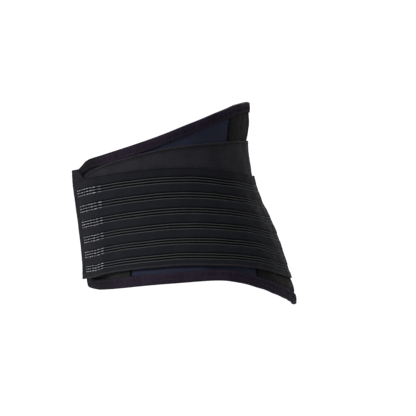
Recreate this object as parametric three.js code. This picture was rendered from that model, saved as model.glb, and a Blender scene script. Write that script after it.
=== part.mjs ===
import * as THREE from "three";

const { DEG2RAD, euclideanModulo, lerp, smoothstep } = THREE.MathUtils;

// A lumbar support belt, closed as it is worn. Millimetres, +Z up. The wearer faces -Y and
// their left side is +X. The origin is the middle of the waist hollow, about level with the
// middle of the outer band.
//
// Every layer follows one waist form. A place on the form is a heading, in degrees from the
// front centre towards the wearer's left and on round the back, and a height. How far a face
// lies off the form is measured outwards.

// The waist that the belt fits
const WAIST_WIDTH = 244;
const WAIST_DEPTH = 177;
const FRONT_BLUNTNESS = 2.15;
const BACK_BLUNTNESS = 2.5;

// Heights of the layers
const BACK_HEIGHT = 213;
const BAND_HEIGHT = 100;
const BINDING_WIDTH = 10;
const SUPPORT_DROP = 30; // from the top binding down to the support elastic at the spine
const SUPPORT_RISE = 20; // from the bottom binding up to the support elastic at the spine
const TAB_ABOVE_BAND = 12.5;
const TAB_ABOVE_LOW_EDGE = 1;

// Thicknesses of the layers
const PANEL_THICKNESS = 2;
const CHANNEL_RISE = 0.6;
const BINDING_THICKNESS = 1;
const SUPPORT_THICKNESS = 1;
const TAB_THICKNESS = 2;
const BAND_THICKNESS = 1.6;
const LAYER_GAP = 0.4;

// Ribs that are woven into the outer band
const RIB_COUNT = 6;
const RIB_WIDTH = 7.5;
const RIB_CREST = 4;
const RIB_RISE = 0.6;
const LOW_RIB_MARGIN = 9.4; // from the band's low edge to the middle of the lowest rib
const TOP_RIB_MARGIN = 12.6;

// Headings where the pieces start, end and meet, in degrees, on the wearer's left side.
// The right side mirrors them.
const FULL_TURN = 360;
const SPINE = FULL_TURN / 2;
const PANEL_OVERLAP = 16; // how far each front panel runs past the front centre
const FRONT_SEAM = 67.5;
const BACK_SEAM = 123.4; // at the height of the origin
const BACK_SEAM_LEAN = 12.3; // how far the seam leans backwards over the back height
const SUPPORT_END = 36;
const BAND_END = 32;
const TAB_BACK = 52;
const TAB_CORNER = 30; // where the sloping corner of a tab's back edge meets its top edge
const LEFT_TAB_REACH = 29; // how far the left tab, on top, runs past the front centre
const RIGHT_TAB_REACH = 12; // how far the right tab, under it, runs past the front centre
const TAB_TIP_TURN = 7;
const TUCK_START = 40;
const TUCK_END = 20;
const BAND_STEP = 6; // the turn over which the band climbs onto a tab
const STEP_CLEARANCE = 1.5;
const TAB_CLIMB = 14; // the turn over which the left tab climbs onto the right one

// How far down or up the corners of a tab are cut
const TAB_BACK_CUT = 23;
const TAB_TIP_CUT = 16;

// Facets of every layer share one grid of columns and rows, so stacked layers stay parallel
const COLUMN_TURN = 7.5;
const ROW_HEIGHT = 18;
const SLIVER_TURN = 1;
const SLIVER_HEIGHT = 3;
const PROBE = 0.02; // a step along the form, in degrees or up it, that is too small to see
const SEAM_PASSES = 4; // how often the meeting of a leaning column and an edge is refined

// How dull each kind of cloth is
const ROUGHNESS = { panel: 0.9, tape: 0.85, laminate: 0.85, elastic: 0.8 };

// Offsets of the stacked layers from the waist form
const BINDING_WRAP = LAYER_GAP + BINDING_THICKNESS;
const BINDING_FLAP = BINDING_WIDTH - BINDING_WRAP;
const ON_PANEL = PANEL_THICKNESS + LAYER_GAP;
const BINDING_OUTSIDE = ON_PANEL + BINDING_THICKNESS;
const ON_SUPPORT = ON_PANEL + Math.max(BINDING_THICKNESS, SUPPORT_THICKNESS) + LAYER_GAP;
const ON_TAB = ON_SUPPORT + TAB_THICKNESS + LAYER_GAP;
const TUCK_DEPTH = BINDING_OUTSIDE + LAYER_GAP + BINDING_WRAP;

// The waist form in horizontal sections. A section's level is its height as a share of the
// back height. Belly and spine are shares of the waist depth, in front of the origin and
// behind it, and flank is the half width as a share of the waist width.
const WAIST_SECTIONS = [
  { level: -0.43, belly: 0.465, spine: 0.7, flank: 0.647 },
  { level: -0.36, belly: 0.484, spine: 0.69, flank: 0.635 },
  { level: -0.33, belly: 0.494, spine: 0.68, flank: 0.63 },
  { level: -0.3, belly: 0.502, spine: 0.666, flank: 0.624 },
  { level: -0.2, belly: 0.506, spine: 0.627, flank: 0.603 },
  { level: -0.1, belly: 0.517, spine: 0.588, flank: 0.577 },
  { level: 0, belly: 0.532, spine: 0.54, flank: 0.551 },
  { level: 0.1, belly: 0.549, spine: 0.482, flank: 0.528 },
  { level: 0.2, belly: 0.564, spine: 0.442, flank: 0.51 },
  { level: 0.3, belly: 0.572, spine: 0.42, flank: 0.5 },
  { level: 0.4, belly: 0.6, spine: 0.408, flank: 0.5 },
  { level: 0.5, belly: 0.631, spine: 0.419, flank: 0.508 },
  { level: 0.61, belly: 0.665, spine: 0.419, flank: 0.515 },
];

// The edges of the layers round half the waist. Top and bottom are the bound outline, as
// shares of the back height. The band's edges are shares of the band height. Drop and rise
// are shares of the support elastic's drop and rise at the spine.
const EDGE_LINES = [
  { heading: 0, top: 0.245, bottom: -0.313, bandTop: 0.417, bandLow: -0.605, drop: 0.16, rise: 0.4 },
  { heading: 15, top: 0.252, bottom: -0.315, bandTop: 0.42, bandLow: -0.6, drop: 0.16, rise: 0.4 },
  { heading: 30, top: 0.269, bottom: -0.319, bandTop: 0.426, bandLow: -0.583, drop: 0.16, rise: 0.4 },
  { heading: 45, top: 0.303, bottom: -0.321, bandTop: 0.445, bandLow: -0.56, drop: 0.12, rise: 0.45 },
  { heading: 60, top: 0.325, bottom: -0.312, bandTop: 0.476, bandLow: -0.506, drop: 0.01, rise: 0.59 },
  { heading: 75, top: 0.36, bottom: -0.296, bandTop: 0.51, bandLow: -0.468, drop: 0.01, rise: 0.61 },
  { heading: 90, top: 0.408, bottom: -0.281, bandTop: 0.54, bandLow: -0.441, drop: 0.09, rise: 0.6 },
  { heading: 105, top: 0.467, bottom: -0.274, bandTop: 0.546, bandLow: -0.455, drop: 0.36, rise: 0.55 },
  { heading: 120, top: 0.522, bottom: -0.311, bandTop: 0.514, bandLow: -0.492, drop: 0.66, rise: 0.7 },
  { heading: 135, top: 0.563, bottom: -0.358, bandTop: 0.488, bandLow: -0.556, drop: 0.87, rise: 0.9 },
  { heading: 150, top: 0.581, bottom: -0.385, bandTop: 0.47, bandLow: -0.595, drop: 0.98, rise: 1.02 },
  { heading: 165, top: 0.588, bottom: -0.4, bandTop: 0.474, bandLow: -0.612, drop: 1, rise: 1.06 },
  { heading: 180, top: 0.59, bottom: -0.407, bandTop: 0.478, bandLow: -0.62, drop: 1, rise: 1.07 },
];

// The stay channels of the back panel, which stand proud of the cloth between them, as the
// columns where each starts and ends
const STAY_CHANNELS = [
  { from: 120, to: 135 },
  { from: 157.5, to: 172.5 },
  { from: 187.5, to: 202.5 },
  { from: 225, to: 240 },
];

// Turns a table into a function that reads every column at a place between its rows
function readTable(rows, placeColumn) {
  const names = Object.keys(rows[0]).filter((name) => name !== placeColumn);
  const places = rows.map((row) => row[placeColumn]);
  const values = rows.flatMap((row) => names.map((name) => row[name]));
  const curve = new THREE.CubicInterpolant(places, values, names.length);
  return (place) => {
    const found = curve.evaluate(place);
    return Object.fromEntries(names.map((name, index) => [name, found[index]]));
  };
}

const sectionAt = readTable(WAIST_SECTIONS, "level");
const edgeRowAt = readTable(EDGE_LINES, "heading");

const mirrored = (heading) => FULL_TURN - heading;

// The angle between a heading and the front centre, the same on both sides
function fromFront(heading) {
  return Math.abs(euclideanModulo(heading + SPINE, FULL_TURN) - SPINE);
}

function waistPoint(heading, height) {
  const section = sectionAt(height / BACK_HEIGHT);
  const front = -section.belly * WAIST_DEPTH;
  const back = section.spine * WAIST_DEPTH;
  const halfDepth = (back - front) / 2;
  const halfWidth = section.flank * WAIST_WIDTH;
  const sideways = Math.sin(heading * DEG2RAD);
  const forward = Math.cos(heading * DEG2RAD);
  const bluntness = lerp(FRONT_BLUNTNESS, BACK_BLUNTNESS, (1 - forward) / 2);
  const widthTerm = (Math.abs(sideways) / halfWidth) ** bluntness;
  const depthTerm = (Math.abs(forward) / halfDepth) ** bluntness;
  const radius = (widthTerm + depthTerm) ** (-1 / bluntness);
  return new THREE.Vector3(radius * sideways, (front + back) / 2 - radius * forward, height);
}

// A point that stands off the waist form by an offset, along the form's own normal
function clothPoint(heading, height, offset) {
  const along = waistPoint(heading + PROBE, height).sub(waistPoint(heading - PROBE, height));
  const up = waistPoint(heading, height + PROBE).sub(waistPoint(heading, height - PROBE));
  const outwards = along.cross(up).normalize();
  return waistPoint(heading, height).addScaledVector(outwards, offset);
}

function degreesAcross(length, heading, height) {
  const oneDegree = waistPoint(heading, height).distanceTo(waistPoint(heading + 1, height));
  return length / oneDegree;
}

// A column of the shared grid leans backwards near the back seams, as the seams do
function leaned(column, height) {
  const turn = fromFront(column);
  const rising = smoothstep(turn, FRONT_SEAM, BACK_SEAM);
  const falling = 1 - smoothstep(turn, BACK_SEAM, SPINE);
  const lean = (BACK_SEAM_LEAN * rising * falling * height) / BACK_HEIGHT;
  return column + Math.sign(SPINE - column) * lean;
}

// The height at which a leaning column meets an edge
function edgeHeight(edge, column) {
  let height = edge(column);
  for (let pass = 0; pass < SEAM_PASSES; pass += 1) {
    height = edge(leaned(column, height));
  }
  return height;
}

// Heights of the edges at a heading
const outlineTop = (heading) => edgeRowAt(fromFront(heading)).top * BACK_HEIGHT;
const outlineBottom = (heading) => edgeRowAt(fromFront(heading)).bottom * BACK_HEIGHT;
const panelTop = (heading) => outlineTop(heading) - BINDING_WRAP;
const panelBottom = (heading) => outlineBottom(heading) + BINDING_WRAP;
const bandTop = (heading) => edgeRowAt(fromFront(heading)).bandTop * BAND_HEIGHT;
const bandLow = (heading) => edgeRowAt(fromFront(heading)).bandLow * BAND_HEIGHT;

function supportTop(heading) {
  const drop = edgeRowAt(fromFront(heading)).drop * SUPPORT_DROP;
  return panelTop(heading) - BINDING_FLAP - LAYER_GAP - drop;
}

function supportLow(heading) {
  const rise = edgeRowAt(fromFront(heading)).rise * SUPPORT_RISE;
  return panelBottom(heading) + BINDING_FLAP + LAYER_GAP + rise;
}

// The right front panel dips under the end of the left one
function panelInside(heading) {
  return -TUCK_DEPTH * smoothstep(heading, mirrored(TUCK_START), mirrored(TUCK_END));
}

const multiples = (step, from, to) => {
  const first = Math.ceil(from / step);
  const count = Math.floor(to / step) - first + 1;
  return Array.from({ length: Math.max(0, count) }, (_, index) => (first + index) * step);
};

// Adds to a list the places of another that aren't too close to its own
function withClear(own, others, sliver) {
  const clear = others.filter((place) => own.every((knot) => Math.abs(place - knot) > sliver));
  return [...own, ...clear].sort((a, b) => a - b);
}

// The shared columns between two headings, with a piece's own knots among them
function columnsBetween(start, end, knots = []) {
  const seams = [FRONT_SEAM, BACK_SEAM, mirrored(BACK_SEAM), mirrored(FRONT_SEAM)];
  const shared = withClear(seams, multiples(COLUMN_TURN, start, end), SLIVER_TURN);
  const inside = shared.filter((column) => column > start && column < end);
  return withClear([start, ...knots, end], inside, SLIVER_TURN);
}

// The shared rows between two heights, with a piece's own rows among them
function rowsAmong(low, top, ownRows) {
  const own = ownRows.filter((row) => row > low && row < top);
  return withClear([low, ...own, top], multiples(ROW_HEIGHT, low, top), SLIVER_HEIGHT);
}

const plainRows = (low, top) => rowsAmong(low, top, []);

// One face of a cloth piece: a line of points up each column, with the heights of its rows
function clothFace(columns, low, top, rows, offset) {
  return columns.map((column) => {
    const heights = rows(edgeHeight(low, column), edgeHeight(top, column), column);
    const points = heights.map((height, row) =>
      clothPoint(leaned(column, height), height, offset(column, row)),
    );
    return { heights, points };
  });
}

// Collects triangles and turns them into a geometry
class FaceList {
  constructor() {
    this.corners = [];
  }

  triangle(...points) {
    points.forEach((point) => this.corners.push(point.x, point.y, point.z));
  }

  quad(a, b, c, d) {
    this.triangle(a, b, c);
    this.triangle(a, c, d);
  }

  // A strip between two lines of points that run upwards. Their front shows where the right
  // line lies to the right.
  strip(left, right, flipped = false) {
    let l = 0;
    let r = 0;
    while (l < left.points.length - 1 || r < right.points.length - 1) {
      const leftNext = left.heights[l + 1] ?? Infinity;
      const rightNext = right.heights[r + 1] ?? Infinity;
      const corners = [left.points[l], right.points[r]];
      if (leftNext <= rightNext) {
        l += 1;
        corners.push(left.points[l]);
      } else {
        r += 1;
        corners.push(right.points[r]);
      }
      this.triangle(...(flipped ? corners.reverse() : corners));
    }
  }

  geometry() {
    const geometry = new THREE.BufferGeometry();
    geometry.setAttribute("position", new THREE.Float32BufferAttribute(this.corners, 3));
    geometry.computeVertexNormals();
    return geometry;
  }
}

// A closed cloth piece between an outer and an inner face
function clothSolid({ columns, low, top, outside, inside, rows = plainRows, outerRows = rows }) {
  const outer = clothFace(columns, low, top, outerRows, outside);
  const inner = clothFace(columns, low, top, rows, inside);
  const faces = new FaceList();
  const last = columns.length - 1;
  for (let c = 0; c < last; c += 1) {
    const outerPair = [outer[c].points, outer[c + 1].points];
    const innerPair = [inner[c].points, inner[c + 1].points];
    faces.strip(outer[c], outer[c + 1]);
    faces.strip(inner[c], inner[c + 1], true);
    faces.quad(outerPair[0].at(-1), outerPair[1].at(-1), innerPair[1].at(-1), innerPair[0].at(-1));
    faces.quad(innerPair[0][0], innerPair[1][0], outerPair[1][0], outerPair[0][0]);
  }
  faces.strip(inner[0], outer[0]);
  faces.strip(outer[last], inner[last]);
  return faces.geometry();
}

function clothMesh(name, geometry, color, roughness) {
  const material = new THREE.MeshStandardMaterial({ color, roughness, metalness: 0 });
  const mesh = new THREE.Mesh(geometry, material);
  mesh.name = name;
  return mesh;
}

// Main panels, which butt at their seams under the binding
function seamSides(seam) {
  const halfGap = degreesAcross(LAYER_GAP, seam, 0) / 2;
  return { before: seam - halfGap, after: seam + halfGap };
}

// A panel's rows follow the edges of what lies on it
function panelRows(low, top, column) {
  const edges = [supportLow, supportTop].map((edge) => edgeHeight(edge, column));
  return rowsAmong(low, top, [low + BINDING_FLAP, ...edges, top - BINDING_FLAP]);
}

function mainPanel(name, columns, color, valley = () => 0) {
  const geometry = clothSolid({
    columns,
    low: panelBottom,
    top: panelTop,
    rows: panelRows,
    outside: (column) => panelInside(column) + PANEL_THICKNESS - valley(column),
    inside: panelInside,
  });
  return clothMesh(name, geometry, color, ROUGHNESS.panel);
}

// The back panel is thinner between its stay channels
function channelValley(column) {
  const standing = STAY_CHANNELS.map(({ from, to }) => {
    const rising = smoothstep(column, from - COLUMN_TURN, from);
    const falling = 1 - smoothstep(column, to, to + COLUMN_TURN);
    return rising * falling;
  });
  return CHANNEL_RISE * (1 - Math.max(...standing));
}

function backPanel() {
  const { after } = seamSides(BACK_SEAM);
  const columns = columnsBetween(after, mirrored(after));
  return mainPanel("back_panel", columns, "#232021", channelValley);
}

function sideAndFrontPanels() {
  const front = seamSides(FRONT_SEAM);
  const back = seamSides(BACK_SEAM);
  const tuck = [mirrored(TUCK_START), mirrored(TUCK_END)];
  const fronts = {
    front_panel_left: columnsBetween(-PANEL_OVERLAP, front.before),
    front_panel_right: columnsBetween(mirrored(front.before), FULL_TURN + PANEL_OVERLAP, tuck),
  };
  const sides = {
    side_panel_left: columnsBetween(front.after, back.before),
    side_panel_right: columnsBetween(mirrored(back.before), mirrored(front.after)),
  };
  return [
    ...Object.entries(fronts).map(([name, columns]) => mainPanel(name, columns, "#2c2e2b")),
    ...Object.entries(sides).map(([name, columns]) => mainPanel(name, columns, "#1f2230")),
  ];
}

// Edge binding: a folded tape round the whole outline. A station on the outline knows which
// way is inwards, in turns along the heading and in rises.
function bindingSection({ column, height, turn, rise }) {
  const corner = (inwards, offset) => {
    const place = column + turn * degreesAcross(inwards, column, height);
    const level = height + rise * inwards;
    return clothPoint(leaned(place, level), level, panelInside(place) + offset);
  };
  return [
    corner(BINDING_FLAP, BINDING_OUTSIDE),
    corner(-BINDING_WRAP, BINDING_OUTSIDE),
    corner(-BINDING_WRAP, -BINDING_WRAP),
    corner(BINDING_FLAP, -BINDING_WRAP),
    corner(BINDING_FLAP, -LAYER_GAP),
    corner(-LAYER_GAP, -LAYER_GAP),
    corner(-LAYER_GAP, ON_PANEL),
    corner(BINDING_FLAP, ON_PANEL),
  ];
}

function bindingStations() {
  const start = -PANEL_OVERLAP;
  const end = FULL_TURN + PANEL_OVERLAP;
  const flap = degreesAcross(BINDING_FLAP, 0, 0);
  const knots = [mirrored(TUCK_START), mirrored(TUCK_END)];
  const between = columnsBetween(start, end, knots).filter(
    (column) => column > start + flap + SLIVER_TURN && column < end - flap - SLIVER_TURN,
  );
  const onEdge = (column, edge, turn, rise) => ({
    column,
    height: edgeHeight(edge, column),
    turn,
    rise,
  });
  const upright = (column, turn) => {
    const low = panelBottom(column) + BINDING_FLAP;
    const top = panelTop(column) - BINDING_FLAP;
    const inner = plainRows(low, top).slice(1, -1);
    return inner.map((height) => ({ column, height, turn, rise: 0 }));
  };
  return [
    onEdge(start, panelTop, 1, -1),
    ...between.map((column) => onEdge(column, panelTop, 0, -1)),
    onEdge(end, panelTop, -1, -1),
    ...upright(end, -1).reverse(),
    onEdge(end, panelBottom, -1, 1),
    ...between.map((column) => onEdge(column, panelBottom, 0, 1)).reverse(),
    onEdge(start, panelBottom, 1, 1),
    ...upright(start, 1),
  ];
}

function edgeBinding() {
  const loops = bindingStations().map(bindingSection);
  const faces = new FaceList();
  loops.forEach((loop, index) => {
    const next = loops[(index + 1) % loops.length];
    loop.forEach((point, k) => {
      const after = (k + 1) % loop.length;
      faces.quad(point, next[k], next[after], loop[after]);
    });
  });
  return clothMesh("edge_binding", faces.geometry(), "#2a2230", ROUGHNESS.tape);
}

// Support elastic: a plain wide elastic over the panels, cut short under the tabs
function supportElastic() {
  const geometry = clothSolid({
    columns: columnsBetween(SUPPORT_END, mirrored(SUPPORT_END)),
    low: supportLow,
    top: supportTop,
    rows: (low, top, column) => rowsAmong(low, top, [edgeHeight(bandTop, column)]),
    outside: () => ON_PANEL + SUPPORT_THICKNESS,
    inside: () => ON_PANEL,
  });
  return clothMesh("support_elastic", geometry, "#2a2b2e", ROUGHNESS.elastic);
}

// Front tabs, each with a sloping corner at its back edge and two at its tip. The left one
// climbs over the right one at the front centre. A reach is how far the tip runs past the
// centre, so on a tab's own side the turn from the tip grows with the heading.
function tabEdges(reach, ownHeading) {
  const tipCut = (heading) => {
    const fromTip = ownHeading(heading) + reach;
    return TAB_TIP_CUT * Math.max(0, 1 - fromTip / TAB_TIP_TURN);
  };
  const backCut = (heading) => {
    const pastCorner = (ownHeading(heading) - TAB_CORNER) / (TAB_BACK - TAB_CORNER);
    return TAB_BACK_CUT * Math.max(0, pastCorner);
  };
  return {
    low: (heading) => bandLow(heading) + TAB_ABOVE_LOW_EDGE + tipCut(heading),
    top: (heading) => bandTop(heading) + TAB_ABOVE_BAND - tipCut(heading) - backCut(heading),
  };
}

function frontTab(name, columns, edges, inside) {
  const geometry = clothSolid({
    columns,
    ...edges,
    outside: (column) => inside(column) + TAB_THICKNESS,
    inside,
  });
  return clothMesh(name, geometry, "#232429", ROUGHNESS.laminate);
}

function frontTabs() {
  const climbEnd = RIGHT_TAB_REACH + STEP_CLEARANCE;
  const leftInside = (column) =>
    lerp(ON_TAB, ON_SUPPORT, smoothstep(column, climbEnd, climbEnd + TAB_CLIMB));
  const leftKnots = [TAB_TIP_TURN - LEFT_TAB_REACH, climbEnd, climbEnd + TAB_CLIMB, TAB_CORNER];
  const rightTip = FULL_TURN + RIGHT_TAB_REACH;
  const rightKnots = [mirrored(TAB_CORNER), rightTip - TAB_TIP_TURN];
  return [
    frontTab(
      "front_tab_left",
      columnsBetween(-LEFT_TAB_REACH, TAB_BACK, leftKnots),
      tabEdges(LEFT_TAB_REACH, (heading) => heading),
      leftInside,
    ),
    frontTab(
      "front_tab_right",
      columnsBetween(mirrored(TAB_BACK), rightTip, rightKnots),
      tabEdges(RIGHT_TAB_REACH, mirrored),
      () => ON_SUPPORT,
    ),
  ];
}

// Outer band: one ribbed elastic round the back, which climbs onto both tabs
const STEP_TOP = TAB_BACK + STEP_CLEARANCE;
const STEP_FOOT = STEP_TOP + BAND_STEP;

function bandInside(column) {
  return lerp(ON_TAB, ON_SUPPORT, smoothstep(fromFront(column), STEP_TOP, STEP_FOOT));
}

// Rows across the band, as shares of its height, with how far the ribs stand out there
function ribProfile() {
  const pitch = (BAND_HEIGHT - LOW_RIB_MARGIN - TOP_RIB_MARGIN) / (RIB_COUNT - 1);
  const profile = [{ share: 0, rise: 0 }];
  for (let rib = 0; rib < RIB_COUNT; rib += 1) {
    const middle = LOW_RIB_MARGIN + rib * pitch;
    profile.push(
      { share: (middle - RIB_WIDTH / 2) / BAND_HEIGHT, rise: 0 },
      { share: (middle - RIB_CREST / 2) / BAND_HEIGHT, rise: RIB_RISE },
      { share: (middle + RIB_CREST / 2) / BAND_HEIGHT, rise: RIB_RISE },
      { share: (middle + RIB_WIDTH / 2) / BAND_HEIGHT, rise: 0 },
    );
  }
  profile.push({ share: 1, rise: 0 });
  return profile;
}

function outerBand() {
  const profile = ribProfile();
  const knots = [STEP_TOP, STEP_FOOT, mirrored(STEP_FOOT), mirrored(STEP_TOP)];
  const geometry = clothSolid({
    columns: columnsBetween(BAND_END, mirrored(BAND_END), knots),
    low: bandLow,
    top: bandTop,
    rows: (low, top, column) => rowsAmong(low, top, [edgeHeight(supportLow, column)]),
    outerRows: (low, top) => profile.map(({ share }) => lerp(low, top, share)),
    outside: (column, row) => bandInside(column) + BAND_THICKNESS + profile[row].rise,
    inside: bandInside,
  });
  return clothMesh("outer_band", geometry, "#25272e", ROUGHNESS.elastic);
}

const belt = new THREE.Group();
belt.add(
  ...sideAndFrontPanels(),
  backPanel(),
  edgeBinding(),
  supportElastic(),
  ...frontTabs(),
  outerBand(),
);

export default belt;
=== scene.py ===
# %% [markdown]
# A lumbar support belt, closed as it is worn. Its solids are already built: this lesson loads
# them as a fixed frame and dresses each one as the cloth that it is. Everything is in metres,
# +Z is up, the wearer faces -Y and their left side is +X. The belt is soft layers on one waist
# form, so the lesson first makes that form and then lays each layer on it.

import bpy
import numpy as np
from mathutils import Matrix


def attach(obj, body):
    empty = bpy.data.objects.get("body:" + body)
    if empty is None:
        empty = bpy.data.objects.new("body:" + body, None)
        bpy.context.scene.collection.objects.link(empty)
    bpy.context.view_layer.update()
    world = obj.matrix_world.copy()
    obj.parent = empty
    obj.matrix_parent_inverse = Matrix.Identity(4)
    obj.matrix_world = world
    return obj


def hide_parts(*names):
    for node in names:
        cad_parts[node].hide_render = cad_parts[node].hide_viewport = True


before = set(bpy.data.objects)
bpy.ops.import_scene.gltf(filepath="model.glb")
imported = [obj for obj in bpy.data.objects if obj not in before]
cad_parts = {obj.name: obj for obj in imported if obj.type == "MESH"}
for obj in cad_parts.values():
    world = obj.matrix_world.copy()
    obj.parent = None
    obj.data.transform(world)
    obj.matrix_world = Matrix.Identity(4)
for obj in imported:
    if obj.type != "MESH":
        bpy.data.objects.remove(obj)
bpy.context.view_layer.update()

# %% [markdown]
# Materials and node trees need many nodes, so one small helper adds a node with its settings
# and links. Colours are written as the hex values that an eye knows from a screen, and one
# function turns them to the linear values that light is worked out in.

# %% Helpers for nodes, colours and objects
MM = 0.001


def add(tree, kind, inputs=None, **settings):
    """Adds a node. An input takes a value, or another node's output as a link."""
    node = tree.nodes.new(kind)
    for name, value in settings.items():
        setattr(node, name, value)
    for key, value in (inputs or {}).items():
        if isinstance(value, bpy.types.NodeSocket):
            tree.links.new(value, node.inputs[key])
        else:
            node.inputs[key].default_value = value
    return node


def stretched(value, low, high, start=0.0, end=1.0):
    """The inputs that stretch a value from one range to another."""
    return {"Value": value, "From Min": low, "From Max": high, "To Min": start, "To Max": end}


def linear(hex_colour):
    """An sRGB hex colour as linear red, green, blue and alpha."""
    shares = np.array([int(hex_colour[i : i + 2], 16) for i in (1, 3, 5)]) / 255
    curved = ((shares + 0.055) / 1.055) ** 2.4
    return (*np.where(shares <= 0.04045, shares / 12.92, curved), 1.0)


def painted(name, finish):
    """A material whose shader has the settings that a function makes in its tree."""
    material = bpy.data.materials.new(name)
    material.use_nodes = True
    tree = material.node_tree
    tree.nodes.clear()
    shader = add(tree, "ShaderNodeBsdfPrincipled", finish(tree))
    add(tree, "ShaderNodeOutputMaterial", {"Surface": shader.outputs["BSDF"]})
    return material


def placed(name, data):
    """An object at the origin."""
    thing = bpy.data.objects.new(name, data)
    bpy.context.scene.collection.objects.link(thing)
    return thing


print("Middle grey #808080 is", round(float(linear("#808080")[0]), 3), "in linear light")

# %% [markdown]
# The camera stands at the wearer's left side and looks straight across at the belt through a
# long lens, so the outline is almost without perspective. Its distance and the real size of a
# picture point give the lens.

# %% Camera
PICTURE_POINTS = 416
POINT_SIZE = 1.05 * MM
SENSOR = 36 * MM
CAMERA_PLACE = (3.0, 0.0341, 0.0147)

camera_data = bpy.data.cameras.new("side_camera")
camera_data.sensor_width = SENSOR / MM
camera_data.lens = SENSOR / MM * CAMERA_PLACE[0] / (PICTURE_POINTS * POINT_SIZE)
camera = placed("side_camera", camera_data)
camera.location = CAMERA_PLACE
camera.rotation_euler = np.radians((90, 0, 90))
bpy.context.scene.camera = camera
print(f"Lens {camera_data.lens:.1f} mm at {CAMERA_PLACE[0]} m")

# %% [markdown]
# The room is a pale round floor under a white sky, so black cloth stands clear of it from any
# side. The floor lies well below the belt, which a waist would hold up there. The sky looks
# white to the camera but lights the cloth only weakly and mostly from above, so that the
# lamps can shape the folds and the lower edges keep their shadows. The largest lamp stands
# ahead of the wearer on the camera's side.

# %% Room and light
FLOOR_DROP = 0.3
FLOOR_RADIUS = 1.2
FLOOR_SIDES = 96
SKY_SEEN = 1.1
SKY_LIGHT = 0.5
GROUND_LIGHT = 0.07
SKY_RISE = (-0.4, 0.8)  # how steep the way is from where the ground's light turns to the sky's
SOFT_LAMPS = {  # place, size and watts
    "front_soft_box": ((1.5, -2.05, 1.5), 1.0, 60),
    "side_soft_box": ((2.4, 0.6, 1.6), 1.2, 5),
    "rear_soft_box": ((-1.9, 2.1, 1.3), 1.4, 7),
    "far_soft_box": ((-2.6, 0.1, 1.3), 1.6, 44),
}


def make_sky():
    scene = bpy.context.scene
    scene.view_settings.view_transform = "Standard"
    scene.world = bpy.data.worlds.new("white_sky")
    scene.world.use_nodes = True
    tree = scene.world.node_tree
    way = add(tree, "ShaderNodeTexCoord").outputs["Generated"]
    rise = add(tree, "ShaderNodeSeparateXYZ", {"Vector": way}).outputs["Z"]
    up = stretched(rise, *SKY_RISE, GROUND_LIGHT, SKY_LIGHT)
    light = add(tree, "ShaderNodeMapRange", up).outputs["Result"]
    seen = add(tree, "ShaderNodeLightPath").outputs["Is Camera Ray"]
    strength = add(tree, "ShaderNodeMapRange", stretched(seen, 0, 1, light, SKY_SEEN))
    tree.links.new(strength.outputs["Result"], tree.nodes["Background"].inputs["Strength"])
    tree.nodes["Background"].inputs["Color"].default_value = linear("#ffffff")


def make_floor():
    turns = np.linspace(0, 2 * np.pi, FLOOR_SIDES, endpoint=False)
    rim = [(FLOOR_RADIUS * np.cos(a), FLOOR_RADIUS * np.sin(a), -FLOOR_DROP) for a in turns]
    mesh = bpy.data.meshes.new("pale_floor")
    mesh.from_pydata(rim, [], [tuple(range(len(rim)))])
    mesh.materials.append(painted(
        "matt pale floor paint", lambda tree: {"Base Color": linear("#c9c9c9"), "Roughness": 0.9}))
    placed("pale_floor", mesh)


make_sky()
make_floor()
for name, (place, size, watts) in SOFT_LAMPS.items():
    lamp_data = bpy.data.lights.new(name, "AREA")
    lamp_data.shape, lamp_data.size, lamp_data.energy = "DISK", size, watts
    lamp = placed(name, lamp_data)
    lamp.location = place
    lamp.rotation_euler = (-lamp.location.normalized()).to_track_quat("-Z", "Y").to_euler()
print(len(SOFT_LAMPS), "soft lamps over a floor", FLOOR_DROP, "m below the belt's middle")

# %% [markdown]
# The waist form is what all the layers lie on. It could be sculpted, but then no two layers
# would agree, so it is a rule: a blunt oval whose belly, spine and flanks change with height.
# A place on it is a heading, in degrees from the front centre towards the wearer's left and
# on round the back, and a height. The sizes are those of the solids.

# %% Sizes of the waist
WAIST_WIDTH = 244 * MM
WAIST_DEPTH = 177 * MM
FRONT_BLUNTNESS = 2.15
BACK_BLUNTNESS = 2.5
BACK_HEIGHT = 213 * MM
SECTION_NAMES = ("belly", "spine", "flank")
WAIST_SECTIONS = [  # the level first
    (-0.43, 0.465, 0.7, 0.647),
    (-0.36, 0.484, 0.69, 0.635),
    (-0.33, 0.494, 0.68, 0.63),
    (-0.3, 0.502, 0.666, 0.624),
    (-0.2, 0.506, 0.627, 0.603),
    (-0.1, 0.517, 0.588, 0.577),
    (0, 0.532, 0.54, 0.551),
    (0.1, 0.549, 0.482, 0.528),
    (0.2, 0.564, 0.442, 0.51),
    (0.3, 0.572, 0.42, 0.5),
    (0.4, 0.6, 0.408, 0.5),
    (0.5, 0.631, 0.419, 0.508),
    (0.61, 0.665, 0.419, 0.515),
]


def read_table(names, rows):
    """A smooth curve through each column of a table but its first, which holds the places."""
    places, *columns = np.array(rows, float).T
    last = len(places) - 1

    def at(place):
        t = np.clip(place, places[0], places[-1])
        after = np.clip(np.searchsorted(places, t, side="right"), 1, last)
        before = after - 1
        further = np.where(after < last, after + 1, before)
        earlier = np.where(before > 0, before - 1, after)
        step = places[after] - places[before]
        p = (t - places[before]) / step
        early = step / 2 / (places[before] - places[earlier])
        late = step / 2 / (places[further] - places[after])
        shares = [
            (earlier, -early * p**3 + 2 * early * p**2 - early * p),
            (before, (1 + early) * p**3 + (-1.5 - 2 * early) * p**2 + (early - 0.5) * p + 1),
            (after, (-1 - late) * p**3 + (1.5 + late) * p**2 + 0.5 * p),
            (further, late * p**3 - late * p**2),
        ]
        return {name: sum(share * column[row] for row, share in shares)
                for name, column in zip(names, columns)}

    return at


section_at = read_table(SECTION_NAMES, WAIST_SECTIONS)


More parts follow.
